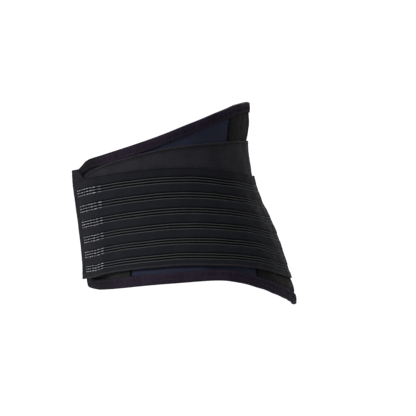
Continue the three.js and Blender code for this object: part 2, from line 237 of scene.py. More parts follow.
def waist_point(heading, height):
    """Points on the waist form."""
    section = section_at(height / BACK_HEIGHT)
    front, back = -section["belly"] * WAIST_DEPTH, section["spine"] * WAIST_DEPTH
    sideways, forward = np.sin(np.radians(heading)), np.cos(np.radians(heading))
    bluntness = FRONT_BLUNTNESS + (BACK_BLUNTNESS - FRONT_BLUNTNESS) * (1 - forward) / 2
    across = (np.abs(sideways) / (section["flank"] * WAIST_WIDTH)) ** bluntness
    along = (np.abs(forward) / ((back - front) / 2)) ** bluntness
    radius = (across + along) ** (-1 / bluntness)
    x, y = radius * sideways, (front + back) / 2 - radius * forward
    return np.stack(np.broadcast_arrays(x, y, height), axis=-1)


print("Left side of the waist:", waist_point(np.array(90.0), np.array(0.0)).round(3))

# %% [markdown]
# A cloth face stands off the form by an offset, along the form's own normal. Cloth on a body
# is never quite smooth: it draws in long shallow folds towards its seams and its closing. All
# the layers are pulled together, so the folds belong to the form and each layer repeats them.

# %% Offsets and folds
PROBE_TURN = 0.02
PROBE_RISE = 0.02 * MM
FOLDS = [  # depth, degrees between folds, lean in degrees a metre, and phase
    (0.26 * MM, 19.0, 260, 0.4),
    (0.2 * MM, 11.3, -340, 2.1),
    (0.1 * MM, 6.7, 480, 4.4),
]
CLOSING_CALM = 0.55  # how much shallower the folds are under the stiff front tabs


def folds(heading, height):
    """How far the folds push the cloth outwards."""
    waves = sum(depth * np.sin(2 * np.pi * (heading + lean * height) / turn + phase)
                for depth, turn, lean, phase in FOLDS)
    closing = (1 + np.cos(np.radians(heading))) / 2
    return waves * (1 - CLOSING_CALM * closing**2)


def outwards(heading, height):
    """The waist form's own normal."""
    across = waist_point(heading + PROBE_TURN, height) - waist_point(heading - PROBE_TURN, height)
    up = waist_point(heading, height + PROBE_RISE) - waist_point(heading, height - PROBE_RISE)
    normal = np.cross(across, up)
    return normal / np.linalg.norm(normal, axis=-1, keepdims=True)


def cloth_point(heading, height, offset):
    """Points on a cloth face that stands off the waist form."""
    out = np.asarray(offset) + folds(heading, height)
    return waist_point(heading, height) + outwards(heading, height) * out[..., None]


def smoothstep(x, low, high):
    t = np.clip((x - low) / (high - low), 0, 1)
    return t * t * (3 - 2 * t)


def metres_a_degree(heading, height=0.0):
    """How long a degree is, for one heading or an array of them."""
    step = waist_point(heading + 1.0, height) - waist_point(heading, height)
    return np.linalg.norm(step, axis=-1)


print("One degree is", round(float(metres_a_degree(90.0)) / MM, 2), "mm at the side")

# %% [markdown]
# The edges of the layers run round the waist as smooth lines. The back panel's seams lean, so
# a column of cloth between them leans too. These lines are the ones the solids were cut to,
# but for the band's low edge, which the cloth's own pull lifts a little over the back.

# %% Edges of the layers
BAND_HEIGHT = 100 * MM
BINDING_WIDTH = 10 * MM
SUPPORT_DROP = 30 * MM
SUPPORT_RISE = 20 * MM
TAB_ABOVE_BAND = 12.5 * MM
TAB_ABOVE_LOW_EDGE = 1 * MM
PANEL_THICKNESS = 2 * MM
CHANNEL_RISE = 0.6 * MM
BINDING_THICKNESS = 1 * MM
SUPPORT_THICKNESS = 1 * MM
TAB_THICKNESS = 2 * MM
BAND_THICKNESS = 1.6 * MM
LAYER_GAP = 0.4 * MM
FRONT_SEAM = 67.5
BACK_SEAM = 123.4
BACK_SEAM_LEAN = 12.3
BINDING_WRAP = LAYER_GAP + BINDING_THICKNESS
BINDING_FLAP = BINDING_WIDTH - BINDING_WRAP
ON_PANEL = PANEL_THICKNESS + LAYER_GAP
BINDING_OUTSIDE = ON_PANEL + BINDING_THICKNESS
ON_SUPPORT = ON_PANEL + max(BINDING_THICKNESS, SUPPORT_THICKNESS) + LAYER_GAP
ON_TAB = ON_SUPPORT + TAB_THICKNESS + LAYER_GAP
TUCK_DEPTH = BINDING_OUTSIDE + LAYER_GAP + BINDING_WRAP
TUCK = (320, 340)
BACK_STRETCH = (85.0, 125.0)
BACK_PULL = 1.6 * MM
LEAN_ROUNDS = 4  # how often a leaning column is walked to its edge
EDGE_NAMES = ("top", "bottom", "band_top", "band_low", "drop", "rise")
EDGE_LINES = [  # the heading first
    (0, 0.245, -0.313, 0.417, -0.605, 0.16, 0.4),
    (15, 0.252, -0.315, 0.42, -0.6, 0.16, 0.4),
    (30, 0.269, -0.319, 0.426, -0.583, 0.16, 0.4),
    (45, 0.303, -0.321, 0.445, -0.56, 0.12, 0.45),
    (60, 0.325, -0.312, 0.476, -0.506, 0.01, 0.59),
    (75, 0.36, -0.296, 0.51, -0.468, 0.01, 0.61),
    (90, 0.408, -0.281, 0.54, -0.441, 0.09, 0.6),
    (105, 0.467, -0.274, 0.546, -0.455, 0.36, 0.55),
    (120, 0.522, -0.311, 0.514, -0.492, 0.66, 0.7),
    (135, 0.563, -0.358, 0.488, -0.556, 0.87, 0.9),
    (150, 0.581, -0.385, 0.47, -0.595, 0.98, 1.02),
    (165, 0.588, -0.4, 0.474, -0.612, 1, 1.06),
    (180, 0.59, -0.407, 0.478, -0.62, 1, 1.07),
]
edge_row_at = read_table(EDGE_NAMES, EDGE_LINES)


def from_front(heading):
    """The angle between a heading and the front centre, the same on both sides."""
    return np.abs((heading + 180) % 360 - 180)


def mirrored(heading):
    return 360 - heading


def edge(name, scale, shift=0.0):
    """A line of the table as a function of the heading."""
    return lambda heading: edge_row_at(from_front(heading))[name] * scale + shift


panel_top = edge("top", BACK_HEIGHT, -BINDING_WRAP)
panel_low = edge("bottom", BACK_HEIGHT, BINDING_WRAP)
band_top = edge("band_top", BAND_HEIGHT)
solid_band_low = edge("band_low", BAND_HEIGHT)
support_drop = edge("drop", SUPPORT_DROP)
support_rise = edge("rise", SUPPORT_RISE)


def towards_back(heading):
    """From 0 at the sides to 1 where the stretched band lies on the back."""
    return smoothstep(from_front(heading), *BACK_STRETCH)


def band_low(heading):
    return solid_band_low(heading) + BACK_PULL * towards_back(heading)


def support_top(heading):
    return panel_top(heading) - BINDING_FLAP - LAYER_GAP - support_drop(heading)


def support_low(heading):
    return panel_low(heading) + BINDING_FLAP + LAYER_GAP + support_rise(heading)


def leaned(column, height):
    """The heading of a cloth column at a height."""
    turn = from_front(column)
    rising = smoothstep(turn, FRONT_SEAM, BACK_SEAM)
    falling = 1 - smoothstep(turn, BACK_SEAM, 180)
    lean = BACK_SEAM_LEAN * rising * falling * height / BACK_HEIGHT
    return column + np.sign(180 - column) * lean


def edge_height(line, column):
    """The height at which a leaning column meets an edge."""
    height = line(column)
    for _ in range(LEAN_ROUNDS):
        height = line(leaned(column, height))
    return height


def height_between(low, top, column, share):
    """The height at a share of the way up a leaning column."""
    bottom, height = edge_height(low, column), edge_height(top, column)
    return bottom + (height - bottom) * share


def tuck(column):
    """The right front panel dips under the end of the left one."""
    return -TUCK_DEPTH * smoothstep(column, *TUCK)


print("Back is", round(float(panel_top(180.0) - panel_low(180.0)) / MM), "mm tall at the spine")

# %% [markdown]
# A piece of cloth is two faces, an outer and an inner one, that meet round a soft rim. It
# could be one sheet with a Solidify modifier, but here the two faces differ: one has ribs and
# channels, and the other is plain. So both are worked out as grids and joined at the rim. The
# piece also gets a UV map in real metres along its own threads, for weaves to follow.

# %% Making a piece of cloth
COLUMN_STEP = 2.2 * MM
ROW_STEP = 2.2 * MM
RIM_TURNS = np.radians((0, 30, 60))


def rim_places(length, step, rim):
    """Places along a length: close round the rim at each end and even between."""
    edge = rim * (1 - np.cos(RIM_TURNS))
    count = max(1, round((length - 2 * rim) / step))
    middle = np.linspace(rim, length - rim, count + 1)
    return np.concatenate([edge, middle, (length - edge)[::-1]])


def rim_fullness(places, length, rim):
    """How thick the cloth is at each place, from nothing at its edge to 1 past the rim."""
    inside = np.clip(np.minimum(places, length - places) / rim, 0, 1)
    return np.sqrt(np.clip(1 - (1 - inside) ** 2, 0, 1))


def mesh_object(name, points, faces, threads, notes):
    """An object at the origin from points and four-sided faces."""
    mesh = bpy.data.meshes.new(name)
    mesh.from_pydata(points.tolist(), [], faces.tolist())
    mesh.polygons.foreach_set("use_smooth", np.ones(len(faces), bool))
    corners = np.zeros(len(mesh.loops), np.int32)
    mesh.loops.foreach_get("vertex_index", corners)
    uv_map = mesh.uv_layers.new(name="threads")
    uv_map.data.foreach_set("uv", threads[corners].astype(np.float32).ravel())
    for note, value in notes.items():
        attribute = mesh.attributes.new(note, "FLOAT", "POINT")
        attribute.data.foreach_set("value", value.astype(np.float32).ravel())
    mesh.update()
    return placed(name + "_cloth", mesh)


def shell_object(name, outer, inner, threads, notes):
    """A closed mesh of an outer and an inner grid of points that share their border."""
    columns, rows = outer.shape[:2]
    inner_count = (columns - 2) * (rows - 2)
    outer_ids = np.arange(columns * rows).reshape(columns, rows)
    inner_ids = outer_ids.copy()
    inner_ids[1:-1, 1:-1] = columns * rows + np.arange(inner_count).reshape(columns - 2, rows - 2)

    def quads(ids):
        ring = [ids[:-1, :-1], ids[1:, :-1], ids[1:, 1:], ids[:-1, 1:]]
        return np.stack(ring, axis=-1).reshape(-1, 4)

    def both(face, other):
        return np.concatenate([grid.reshape(-1, *face.shape[2:])
                               for grid in (face, other[1:-1, 1:-1])])

    faces = np.concatenate([quads(outer_ids), quads(inner_ids)[:, ::-1]])
    notes = {note: both(value, np.zeros_like(value)) for note, value in notes.items()}
    return mesh_object(name, both(outer, inner), faces, both(threads, threads), notes)


def cloth_piece(name, start, end, low, top, inside, outside, rim, rows=None, notes=None,
                step=COLUMN_STEP):
    """A closed piece of cloth between two headings and two edges. Rows are shares of its
    height. Its faces' offsets, and its notes, are functions of the column and of the share."""
    degree = float(metres_a_degree((start + end) / 2))
    turn = end - start
    columns = rim_places(turn, step / degree, rim / degree)
    column_fullness = rim_fullness(columns, turn, rim / degree)
    columns = (columns + start)[:, None]
    tall = float(np.mean(top(columns) - low(columns)))
    shares = rim_places(1, ROW_STEP / tall, rim / tall)
    if rows is not None:
        edge = shares[: len(RIM_TURNS)]
        shares = np.concatenate([edge, rows, (1 - edge)[::-1]])
    fullness = column_fullness[:, None] * rim_fullness(shares, 1, rim / tall)[None, :]
    heights = height_between(low, top, columns, shares[None, :])
    headings = leaned(columns, heights)
    grids = np.broadcast_arrays(columns, shares[None, :])
    near, far = inside(*grids), outside(*grids)
    middle, half = (near + far) / 2, (far - near) / 2 * fullness
    outer = cloth_point(headings, heights, middle + half)
    inner = cloth_point(headings, heights, middle - half)
    steps = np.linalg.norm(np.diff(outer[:, outer.shape[1] // 2], axis=0), axis=-1)
    along = np.concatenate([[0], np.cumsum(steps)])[:, None]
    threads = np.stack(np.broadcast_arrays(along, grids[1] * tall), axis=-1)
    noted = {note: value(*grids) for note, value in (notes or {}).items()}
    return shell_object(name, outer, inner, threads, noted)


print("A cloth piece has a column about every", COLUMN_STEP / MM, "mm")

# %% [markdown]
# All the cloths here are woven or knitted, dark and dull. Each is the same recipe with its
# own weave: two close shades mottled together, threads that stand up and gaps painted darker
# as the shade between them, a bump for the light to catch, and the faint sheen of loose
# fibres. A weave is a small function that gives the height of the threads from the cloth's
# own map in millimetres.

# %% Recipe for a cloth
WAVES_IN_A_UNIT = 20 / (2 * np.pi)  # the wave texture has this many waves in a unit at scale 1
BLOTCH_SIZE = 14


def object_millimetres(tree):
    place = add(tree, "ShaderNodeTexCoord").outputs["Object"]
    scaled = {0: place, "Scale": 1 / MM}
    return add(tree, "ShaderNodeVectorMath", scaled, operation="SCALE").outputs[0]


def thread_millimetres(tree, turn=0.0):
    """The cloth's own map in millimetres, turned by some degrees."""
    threads = add(tree, "ShaderNodeUVMap", uv_map="threads").outputs["UV"]
    turned = {"Vector": threads, "Rotation": (0, 0, np.radians(turn)), "Scale": (1 / MM,) * 3}
    return add(tree, "ShaderNodeMapping", turned).outputs["Vector"]


def even_waves(place, period, waver=0.0):
    """The inputs of a wave texture for waves so many millimetres apart."""
    return {"Vector": place, "Scale": 1 / (WAVES_IN_A_UNIT * period), "Distortion": waver,
            "Detail Scale": 0.4}


def even_spots(place, size, detail=2.0):
    """The inputs of a noise texture for spots of about a size in millimetres."""
    return {"Vector": place, "Scale": 1 / size, "Detail": detail}


def slanting(tree, turn, pitch, waver, fuzz):
    """Slanting ribs under specks of fuzz."""
    ribs = add(tree, "ShaderNodeTexWave",
               even_waves(thread_millimetres(tree, turn), pitch, waver), bands_direction="X")
    specks = add(tree, "ShaderNodeTexNoise", even_spots(thread_millimetres(tree), fuzz))
    both = {0: ribs.outputs["Fac"], 1: specks.outputs["Fac"]}
    return add(tree, "ShaderNodeMath", both, operation="MAXIMUM").outputs["Value"]


def crossed(tree, picks, lines, line_share):
    """Upright picks and level lines, each with its pitch and waver, added in shares."""
    place = thread_millimetres(tree)
    heights = {}
    for way, sizes, share in (("Y", lines, line_share), ("X", picks, 1 - line_share)):
        wave = add(tree, "ShaderNodeTexWave", even_waves(place, *sizes), bands_direction=way)
        part = {0: wave.outputs["Fac"], 1: share}
        heights[len(heights)] = add(
            tree, "ShaderNodeMath", part, operation="MULTIPLY").outputs["Value"]
    return add(tree, "ShaderNodeMath", heights, operation="ADD").outputs["Value"]


def tinted(tree, colour, tints):
    """A colour drawn towards one tint after another, each by its own share."""
    for share, tint in tints:
        mix = {"Factor": share, 6: colour, 7: linear(tint)}
        colour = add(tree, "ShaderNodeMix", mix, data_type="RGBA").outputs[2]
    return colour


def cloth_material(name, weave, shades, gap, bump, sheen=0.04, marks=()):
    """Marks are notes on the mesh with the colour that each one gives the cloth."""
    def finish(tree):
        height = weave(tree)
        spots = add(tree, "ShaderNodeTexNoise", even_spots(object_millimetres(tree), BLOTCH_SIZE))
        blotches = add(tree, "ShaderNodeMapRange", stretched(spots.outputs["Fac"], 0.35, 0.65))
        # The hollows between threads are drawn towards the gap colour, a painted shade.
        hollows = add(tree, "ShaderNodeMapRange", stretched(height, 0.0, 0.6, 1.0, 0.0))
        tints = [(blotches.outputs["Result"], shades[1]), (hollows.outputs["Result"], gap)]
        for note, tint in marks:
            mark = add(tree, "ShaderNodeAttribute", attribute_name=note)
            tints.append((mark.outputs["Fac"], tint))
        relief = {"Height": height, "Distance": bump * MM, "Strength": 1.0}
        return {
            "Base Color": tinted(tree, linear(shades[0]), tints),
            "Roughness": 0.9,
            "Sheen Weight": sheen,
            "Sheen Roughness": 0.5,
            "Sheen Tint": linear("#b9bcc8"),
            "Specular IOR Level": 0.12,
            "Normal": add(tree, "ShaderNodeBump", relief).outputs["Normal"],
        }

    return painted(name, finish)


def triangles(mesh):
    return sum(len(face.vertices) - 2 for face in mesh.polygons)


def keep(piece, node, material, flat):
    """Paints a finished piece and says what it stands for and the size it was cut to."""
    piece.data.materials.append(material)
    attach(piece, "root")
    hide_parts(node)
    print(f"{piece.name}: {triangles(piece.data)} triangles, cut {flat[0]:.3f} x {flat[1]:.3f} m")


print("Cloth recipe ready")

# %% [markdown]
# The side panels are spacer mesh: two thin knitted faces with air between them, in navy. The
# holes are real ones some 2 mm apart, too fine for this picture, so they are drawn 2.6 mm
# apart as shallow dents on a diamond grid, painted darker as the shade in them. The panel's
# back seam leans backwards.

# %% Side panels
SPACER_HOLE_PITCH = 2.6
SEAM_TURNS = (0.294, 0.546)  # how far black thread covers the cloth at a seam, in degrees
PANEL_RIM = 0.8 * MM


def spacer_weave(tree):
    place = thread_millimetres(tree, 45)
    rows = {}
    for row, way in enumerate("XY"):
        wave = add(tree, "ShaderNodeTexWave", even_waves(place, SPACER_HOLE_PITCH),
                   bands_direction=way)
        rows[row] = wave.outputs["Fac"]
    return add(tree, "ShaderNodeMath", rows, operation="MAXIMUM").outputs["Value"]


spacer_mesh = cloth_material(
    "navy polyester spacer mesh", spacer_weave, ("#272a3b", "#2a2d3f"), "#171924", 0.3,
    marks=[("seam", "#010102")])


def panel_outside(column, share):
    return tuck(column) + PANEL_THICKNESS


def panel_inside(column, share):
    return tuck(column)


def panel_cut(start, end):
    """The flat size of a panel: its length round the waist and its usual height."""
    columns = np.linspace(start, end, 40)
    line = waist_point(columns, np.zeros(40))
    length = np.linalg.norm(np.diff(line, axis=0), axis=1).sum()
    return float(length), float(np.mean(panel_top(columns) - panel_low(columns)))


def near_seam(column, share):
    """1 close to a seam between panels."""
    away = [np.abs(from_front(column) - seam) for seam in (FRONT_SEAM, BACK_SEAM)]
    return 1 - smoothstep(np.min(away, axis=0), *SEAM_TURNS)


def panel(name, start, end, material, note, low=panel_low, top=panel_top,
          inside=panel_inside, outside=panel_outside, step=COLUMN_STEP):
    """A panel of the main belt, whose edges lie in the binding."""
    piece = cloth_piece(name, start, end, low, top, inside, outside, PANEL_RIM, notes=note,
                        step=step)
    keep(piece, name, material, panel_cut(start, end))


for name, start, end in (("side_panel_left", FRONT_SEAM, BACK_SEAM),
                         ("side_panel_right", mirrored(BACK_SEAM), mirrored(FRONT_SEAM))):
    panel(name, start, end, spacer_mesh, {"seam": near_seam})

# %% [markdown]
# The front panels are loop fabric, the soft half of hook-and-loop, which the tabs grip. Its
# pile is a fine fuzz with no direction, so its height is noise, and it has the most sheen of
# all the cloths. But for its low edge beside the side panel it is painted near black, as the
# shadow in the narrow gaps between the layers. The free ends have round corners for the binding.

# %% Front panels
PANEL_OVERLAP = 16
FRONT_ENDS = (-PANEL_OVERLAP, 360 + PANEL_OVERLAP)
PANEL_CORNER = 9 * MM
GAP_SHADOW_TURN = (44.0, 56.0)  # the low edge is painted with the shadow from the front centre to here
GAP_SHADOW_SHARE = (0.3, 0.5)


def loop_pile(tree):
    place = object_millimetres(tree)
    fine = add(tree, "ShaderNodeTexNoise", even_spots(place, 0.9, 4.0))
    tufts = add(tree, "ShaderNodeTexNoise", even_spots(place, 3.2))
    both = {0: fine.outputs["Fac"], 1: tufts.outputs["Fac"]}
    total = add(tree, "ShaderNodeMath", both, operation="ADD").outputs["Value"]
    return add(tree, "ShaderNodeMapRange", stretched(total, 0.7, 1.25)).outputs["Result"]


# The mark paints the pile near black, a painted shadow for the gaps between the layers.
loop_fabric = cloth_material(
    "brushed nylon loop fabric", loop_pile, ("#1e201f", "#252624"), "#0f100f", 0.35, sheen=0.1,
    marks=[("painted_gap_shadow", "#060607")])


def with_corner(line, side, end):
    """An edge that turns into a round corner before a free end. Side is 1 for a low edge."""
    degree = float(metres_a_degree(end))

    def rounded(column):
        reach = np.clip(1 - np.abs(column - end) * degree / PANEL_CORNER, 0, 1)
        return line(column) + side * PANEL_CORNER * (1 - np.sqrt(1 - reach**2))

    return rounded


def painted_gap_shadow(column, share):
    """Where the pile is painted with a near-black shadow: all but the low edge beside the side
    panel.
    """
    low_edge = 1 - smoothstep(share, *GAP_SHADOW_SHARE)
    return 1 - low_edge * smoothstep(from_front(column), *GAP_SHADOW_TURN)


for name, start, end, free in (
        ("front_panel_left", FRONT_ENDS[0], FRONT_SEAM, FRONT_ENDS[0]),
        ("front_panel_right", mirrored(FRONT_SEAM), FRONT_ENDS[1], FRONT_ENDS[1])):
    panel(name, start, end, loop_fabric, {"painted_gap_shadow": painted_gap_shadow},
          low=with_corner(panel_low, 1, free), top=with_corner(panel_top, -1, free))

# %% [markdown]
# The back panel is a brushed knit with four upright channels, in which stiff stays lie on
# either side of the spine. A channel is a flat pillow between two sewn lines. The knit shows
# fine upright wales. The columns are closer here, so that the sewn lines are crisp. The panel
# is padded, so it springs out a little in its bare stretches above and below the elastics.

# %% Back panel
WALE_PITCH = 1.7
CHANNEL_WIDTH = 12.4
CHANNEL_STARTS = (BACK_SEAM + 0.4, 158.0, mirrored(158.0) - CHANNEL_WIDTH,
                  mirrored(BACK_SEAM + 0.4) - CHANNEL_WIDTH)
CHANNEL_SLOPE = 1.1
CHANNEL_PILLOW = 0.3 * MM
LOW_SPRING = 1.9 * MM
TOP_SPRING = 0.8 * MM
SPRING_TURN = 14.0
BACK_COLUMN_STEP = 1.4 * MM
SPRING_UNDER = 4 * MM  # how far up under the band the low stretch starts to spring


def knit_weave(tree):
    place = thread_millimetres(tree)
    wales = add(tree, "ShaderNodeTexWave", even_waves(place, WALE_PITCH, 1.2),
                bands_direction="X")
    fuzz = add(tree, "ShaderNodeTexNoise", even_spots(place, 1.1))
    both = {0: wales.outputs["Fac"], 1: fuzz.outputs["Fac"]}
    total = {0: add(tree, "ShaderNodeMath", both, operation="ADD").outputs["Value"], 1: 0.6}
    return add(tree, "ShaderNodeMath", total, operation="MULTIPLY").outputs["Value"]


back_knit = cloth_material(
    "brushed polyester knit", knit_weave, ("#191717", "#1e1b1b"), "#0c0b0b", 0.25,
    marks=[("seam", "#010102")])


def springing(column, share):
    """How far the padded panel stands out between the seams where it is bare."""
    height = height_between(panel_low, panel_top, column, share)
    flap = BINDING_FLAP + LAYER_GAP
    bare = [(edge_height(panel_low, column) + flap, edge_height(band_low, column) + SPRING_UNDER,
             LOW_SPRING),
            (edge_height(support_top, column), edge_height(panel_top, column) - flap, TOP_SPRING)]
    between_seams = smoothstep(from_front(column), BACK_SEAM, BACK_SEAM + SPRING_TURN)
    return between_seams * sum(
        rise * (1 - (2 * np.clip((height - start) / (end - start), 0, 1) - 1) ** 4)
        for start, end, rise in bare)


def back_outside(column, share):
    """The panel's face: channels stand over the valleys between them and are pillowed."""
    standing = pillow = 0
    for start in CHANNEL_STARTS:
        end = start + CHANNEL_WIDTH
        standing = standing + (smoothstep(column, start, start + CHANNEL_SLOPE)
                               * (1 - smoothstep(column, end - CHANNEL_SLOPE, end)))
        across = (column - start) / CHANNEL_WIDTH * 2 - 1
        pillow = pillow + np.sqrt(np.clip(1 - across**2, 0, 1))
    relief = CHANNEL_PILLOW * pillow - CHANNEL_RISE * (1 - standing)
    return springing(column, share) + PANEL_THICKNESS + relief


panel("back_panel", BACK_SEAM, mirrored(BACK_SEAM), back_knit,
      {"seam": near_seam}, inside=springing, outside=back_outside, step=BACK_COLUMN_STEP)

# %% [markdown]
# One binding runs round the whole outline: a knitted tape folded over the panels' edges and
# sewn down. Its section is a long U with round ends. It could be swept with Geometry Nodes,
# but the tape also lies on the leaning, flared panels, so each section is set on the form.
# The tape has a fine slanting rib and a violet-black dye. Near the closing its colour is
# made darker, so that it looks black.

# %% Edge binding
TAPE_PUCKER = 0.16 * MM
TAPE_PUCKER_PITCH = 7.5 * MM
STATION_STEP = 2.0 * MM
OUTLINE_DEGREE = 2.3 * MM  # a degree of the outline, taken over the whole
CORNER_STATIONS = 7
FRONT_DARKENING_TURN = (50.0, 66.0)  # the tape is darker from the front centre to here

# The mark makes the tape darker towards the front centre.
binding_tape = cloth_material(
    "violet-black knitted binding tape", lambda tree: slanting(tree, 32, 1.9, 0.5, 1.2),
    ("#211a29", "#2a2130"), "#120e15", 0.25, marks=[("front_darkening", "#100e12")])


def outline_stations():
    """The panels' outline as columns, heights and the way inwards, in turns and rises."""
    start, end = FRONT_ENDS
    corner = PANEL_CORNER / float(metres_a_degree(0.0))
    count = round((end - start) * OUTLINE_DEGREE / STATION_STEP)
    angles = np.radians(np.linspace(90, 0, CORNER_STATIONS + 1))[:-1]

    def border(height_at, side):
        left = [(start + corner * (1 - np.sin(a)), height_at(start + corner)
                 + side * PANEL_CORNER * (1 - np.cos(a)), np.sin(a), side * np.cos(a))
                for a in angles]
        line = [(c, float(edge_height(height_at, c)), 0.0, side)
                for c in np.linspace(start + corner, end - corner, count)]
        right = [(start + end - c, h, -turn, rise) for c, h, turn, rise in left[::-1]]
        return left + line + right

    def upright(column, first, last, turn):
        heights = np.linspace(first, last, round(abs(last - first) / STATION_STEP))
        return [(column, h, turn, 0.0) for h in heights[1:-1]]

    top, low = border(panel_top, -1), border(panel_low, 1)[::-1]
    stations = top + upright(end, top[-1][1], float(panel_low(end)) + PANEL_CORNER, -1.0) + low
    stations += upright(start, stations[-1][1], stations[0][1], 1.0)
    return np.array(stations, float)


def tape_section():
    """The U of the tape as distances inwards from the panel's edge and offsets."""
    middle = (BINDING_OUTSIDE - BINDING_WRAP) / 2
    half = (BINDING_OUTSIDE + BINDING_WRAP) / 2
    fold = np.radians(np.linspace(90, -90, 9))
    end = np.radians(np.linspace(90, -90, 5))[1:-1]
    rim = BINDING_THICKNESS / 2
    flap = np.linspace(BINDING_FLAP, 0, 7)[:-1]

    def face(reach, half, side):
        near, far = middle + side * half, middle - side * half
        return ([(inwards, near) for inwards in flap]
                + [(-reach * np.cos(a), middle + side * half * np.sin(a)) for a in fold]
                + [(inwards, far) for inwards in flap[::-1]]
                + [(BINDING_FLAP + rim * np.cos(a), far + rim - rim * np.sin(a)) for a in end])

    return np.array(face(BINDING_WRAP, half, 1) + face(LAYER_GAP, half - BINDING_THICKNESS, -1))


def on_outline(stations, inwards, offset):
    """Headings, heights and offsets at distances inwards from the panels' outline."""
    column, height, turn, rise = (stations[:, i : i + 1] for i in range(4))
    columns = column + turn * inwards / metres_a_degree(column, height)
    heights = height + rise * inwards
    return leaned(columns, heights), heights, tuck(columns) + offset


def running_length(line):
    """How far along a line each of its points is."""
    return np.concatenate([[0], np.cumsum(np.linalg.norm(np.diff(line, axis=0), axis=-1))])


def edge_binding():
    stations, section = outline_stations(), tape_section()
    inwards, offset = section[:, 0][None, :], section[:, 1][None, :]
    line = waist_point(stations[:, 0], stations[:, 1])
    run = running_length(np.concatenate([line, line[:1]]))
    length, run = float(run[-1]), run[:-1, None]
    pucker = TAPE_PUCKER * np.sin(2 * np.pi * run / TAPE_PUCKER_PITCH)
    swell = np.where(offset > PANEL_THICKNESS, np.sin(np.pi * np.clip(
        inwards / BINDING_FLAP, 0, 1)), 0)
    points = cloth_point(*on_outline(stations, inwards, offset + pucker * swell))
    ids = np.arange(points.shape[0] * points.shape[1]).reshape(points.shape[:2])
    after, beside = np.roll(ids, -1, axis=0), np.roll(ids, -1, axis=1)
    faces = np.stack([ids, after, np.roll(after, -1, axis=1), beside], axis=-1).reshape(-1, 4)
    width = running_length(section)
    threads = np.stack(np.broadcast_arrays(run, width[None, :]), axis=-1).reshape(-1, 2)
    front_darkening = 1 - smoothstep(from_front(stations[:, :1]), *FRONT_DARKENING_TURN)
    notes = {"front_darkening": np.broadcast_to(front_darkening, points.shape[:2])}
    piece = mesh_object("edge_binding", points.reshape(-1, 3), faces, threads, notes)
    keep(piece, "edge_binding", binding_tape, (float(width[-1]) / 2, length))
    return stations


outline = edge_binding()
print(len(outline), "sections of tape")

# %% [markdown]
# Over the panels lies the support elastic, a wide plain elastic without ribs. Fine rubber
# threads under its knit make close level lines, here 1.5 mm apart, crossed by fainter upright
# ones. Both its edges are rolled hems, which stand a little prouder than the rest, and a dark
# line along each hem's foot is a painted shade.

# %% Support elastic
SUPPORT_END = 36
SUPPORT_TALL = 88 * MM
ELASTIC_LINES = (1.5, 0.3)  # pitch and waver
ELASTIC_UPRIGHTS = (2.1, 0.6)
HEM_WIDTH = 2.0 * MM
HEM_RISE = 0.25 * MM
HEM_ROW_STEP = 0.5 * MM
PAST_HEM = 1.5
SUPPORT_RIM = 0.5 * MM
GROOVE_PLACE = 2.0 * MM  # how far from the edge the painted shade at the hem's foot runs
GROOVE_HALF = 0.5 * MM

# The mark paints a dark line at each hem's foot, a painted shade.
plain_elastic = cloth_material(
    "grey-black knitted elastic",
    lambda tree: crossed(tree, ELASTIC_UPRIGHTS, ELASTIC_LINES, 0.7),
    ("#28272d", "#302f35"), "#161519", 0.22, marks=[("painted_hem_shade", "#121216")])


def hem_rows(tall, hem):
    """Rows for a piece with fine rows in its hems and a little past them."""
    fine = np.arange(1, round(PAST_HEM * hem / HEM_ROW_STEP)) * HEM_ROW_STEP / tall
    first = fine[-1] + ROW_STEP / tall
    middle = np.linspace(first, 1 - first, round((1 - 2 * first) * tall / ROW_STEP))
    return np.concatenate([fine, middle, (1 - fine)[::-1]])


def from_hem(share):
    return np.minimum(share, 1 - share) * SUPPORT_TALL


def support_outside(column, share):
    hem = 1 - smoothstep(from_hem(share), HEM_WIDTH - HEM_ROW_STEP, HEM_WIDTH + HEM_ROW_STEP)
    return ON_PANEL + SUPPORT_THICKNESS + HEM_RISE * hem


# Where the painted shade at each hem's foot lies.
def painted_hem_shade(column, share):
    return np.exp(-(((from_hem(share) - GROOVE_PLACE) / GROOVE_HALF) ** 2))


support = cloth_piece(
    "support_elastic", SUPPORT_END, mirrored(SUPPORT_END), support_low, support_top,
    lambda column, share: np.full(share.shape, ON_PANEL), support_outside, SUPPORT_RIM,
    rows=hem_rows(SUPPORT_TALL, HEM_WIDTH), notes={"painted_hem_shade": painted_hem_shade})
support_length = float(metres_a_degree(90.0)) * (mirrored(SUPPORT_END) - SUPPORT_END)
keep(support, "support_elastic", plain_elastic, (SUPPORT_TALL, support_length))

# %% [markdown]
# The tabs close the belt: stiff laminated cloth with hooks on the inside. The left one lies
# over the right one at the front. Each has a sloping corner at its back edge and two at its
# tip, and a sewn line just inside its border, where the cloth is drawn in a little.

# %% Front tabs
TAB_BACK = 52
TAB_CORNER = 30
LEFT_TAB_REACH = 29
RIGHT_TAB_REACH = 12
TAB_TIP_TURN = 7
STEP_CLEARANCE = 1.5
TAB_CLIMB = 14
TAB_BACK_CUT = 23 * MM
TAB_TIP_CUT = 16 * MM
TAB_SEAM_INSET = 3.4 * MM
TAB_SEAM_DIP = 0.35 * MM
TAB_SEAM_HALF = 0.8 * MM
TAB_HEM = TAB_SEAM_INSET * 1.4
TAB_TALL = 112 * MM
TAB_RIM = 0.9 * MM
TAB_COLUMN_STEP = 1.2 * MM

tab_fabric = cloth_material(
    "laminated nylon tab cloth", lambda tree: slanting(tree, -38, 1.8, 0.4, 1.4),
    ("#15131a", "#1a161f"), "#0c0b10", 0.22)


